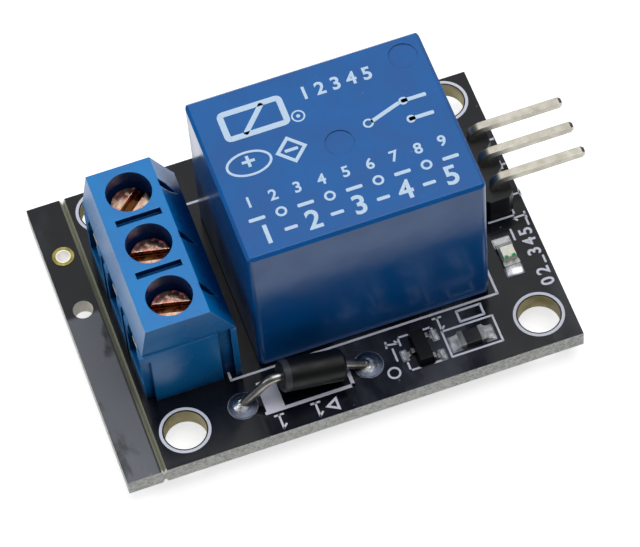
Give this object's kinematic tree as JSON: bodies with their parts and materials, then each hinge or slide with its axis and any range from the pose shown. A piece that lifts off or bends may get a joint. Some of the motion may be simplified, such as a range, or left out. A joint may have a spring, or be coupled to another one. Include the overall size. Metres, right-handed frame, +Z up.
{
  "type": "relay module board",
  "caption": "Small relay carrier board with a blue relay, a screw terminal block, bent header pins, drive parts and a break-off edge rail.",
  "frame": {"origin": "centre of the four mounting holes at the board's underside", "axes": "+X along the board's long side towards the header pins, +Y to the back edge, +Z up from the solder side to the parts"},
  "size_m": [0.043, 0.0269, 0.0186],
  "materials": {
    "board_laminate": "glossy black solder mask over woven laminate, bare straw-grey laminate on the cut edges",
    "gold_plating": "thin gold-coloured plating",
    "relay_case_plastic": "semi-gloss moulded blue plastic with pale printed fields",
    "relay_base_plastic": "matte dark blue plastic with sealing resin",
    "bobbin_plastic": "matte natural nylon",
    "copper_winding": "enamelled copper wire",
    "soft_iron": "zinc-plated soft iron",
    "spring_bronze": "satin phosphor bronze",
    "contact_silver": "silver alloy",
    "contact_brass": "tinned brass strip",
    "tinned_wire": "satin tinned copper",
    "pin_tin": "satin tin plating with long drawing marks",
    "terminal_plastic": "satin bright blue nylon",
    "clamp_steel": "folded tinned sheet",
    "clamp_bronze": "satin bronze sheet",
    "screw_metal": "passivated steel with a pink and straw sheen",
    "header_plastic": "matte black nylon",
    "diode_epoxy": "matte black epoxy with a grey band",
    "chip_epoxy": "matte black epoxy",
    "resistor_ceramic": "dark glazed film over ceramic",
    "chip_metal": "bright tin",
    "lamp_substrate": "pale laminate",
    "lamp_epoxy": "clear cream epoxy",
    "solder": "bright solder"
  },
  "bodies": {
    "board": {"circuit_board": "board_laminate", "rail_eyelet": "gold_plating", "relay_case": "relay_case_plastic", "relay_base": "relay_base_plastic", "relay_bobbin": "bobbin_plastic", "relay_coil": "copper_winding", "relay_core": "soft_iron", "relay_yoke": "soft_iron", "relay_nc_contact": "contact_silver", "relay_no_contact": "contact_silver", "relay_nc_terminal": "contact_brass", "relay_no_terminal": "contact_brass", "relay_common_terminal": "contact_brass", "relay_coil_pins": "tinned_wire", "terminal_housing": "terminal_plastic", "header_block": "header_plastic", "diode_body": "diode_epoxy", "diode_lead_a": "tinned_wire", "diode_lead_b": "tinned_wire", "transistor_body": "chip_epoxy", "transistor_leads": "tinned_wire", "resistor_body": "resistor_ceramic", "resistor_ends": "chip_metal", "lamp_base": "lamp_substrate", "lamp_lens": "lamp_epoxy", "lamp_terminals": "chip_metal", "relay_solder": "solder", "terminal_solder": "solder", "header_solder": "solder", "diode_solder": "solder", "chip_solder": "solder", "terminal_cage_1": "clamp_steel", "header_pin_1": "pin_tin", "terminal_cage_2": "clamp_steel", "header_pin_2": "pin_tin", "terminal_cage_3": "clamp_steel", "header_pin_3": "pin_tin"},
    "armature": {"relay_armature": "soft_iron", "relay_spring": "spring_bronze", "relay_moving_contact": "contact_silver"},
    "clamp_1": {"clamp_plate_1": "clamp_bronze"},
    "screw_1": {"clamp_screw_1": "screw_metal"},
    "clamp_2": {"clamp_plate_2": "clamp_bronze"},
    "screw_2": {"clamp_screw_2": "screw_metal"},
    "clamp_3": {"clamp_plate_3": "clamp_bronze"},
    "screw_3": {"clamp_screw_3": "screw_metal"}
  },
  "joints": [
    {"name": "armature_hinge", "type": "hinge", "parent": "board", "child": "armature", "pos_m": [-0.00461, 0.00013, 0.01252], "axis": [0, 1, 0], "range_deg": [0, 2.4], "stiffness_Nm_per_rad": 0.003, "springref_deg": -14.32},
    {"name": "clamp_slide_1", "type": "slide", "parent": "board", "child": "clamp_1", "axis": [0, 0, 1], "range_m": [-0.001, 0.00115]},
    {"name": "screw_turn_1", "type": "hinge", "parent": "clamp_1", "child": "screw_1", "pos_m": [-0.01318, -0.00495, 0.009], "axis": [0, 0, 1], "range_deg": [-800, 920]},
    {"name": "clamp_slide_2", "type": "slide", "parent": "board", "child": "clamp_2", "axis": [0, 0, 1], "range_m": [-0.001, 0.00115]},
    {"name": "screw_turn_2", "type": "hinge", "parent": "clamp_2", "child": "screw_2", "pos_m": [-0.01318, 0.00013, 0.009], "axis": [0, 0, 1], "range_deg": [-800, 920]},
    {"name": "clamp_slide_3", "type": "slide", "parent": "board", "child": "clamp_3", "axis": [0, 0, 1], "range_m": [-0.001, 0.00115]},
    {"name": "screw_turn_3", "type": "hinge", "parent": "clamp_3", "child": "screw_3", "pos_m": [-0.01318, 0.00521, 0.009], "axis": [0, 0, 1], "range_deg": [-800, 920]}
  ],
  "couplings": [
    {"joint": "screw_turn_1", "follows": "clamp_slide_1", "rad_per_m": 13963},
    {"joint": "screw_turn_2", "follows": "clamp_slide_2", "rad_per_m": 13963},
    {"joint": "screw_turn_3", "follows": "clamp_slide_3", "rad_per_m": 13963}
  ]
}
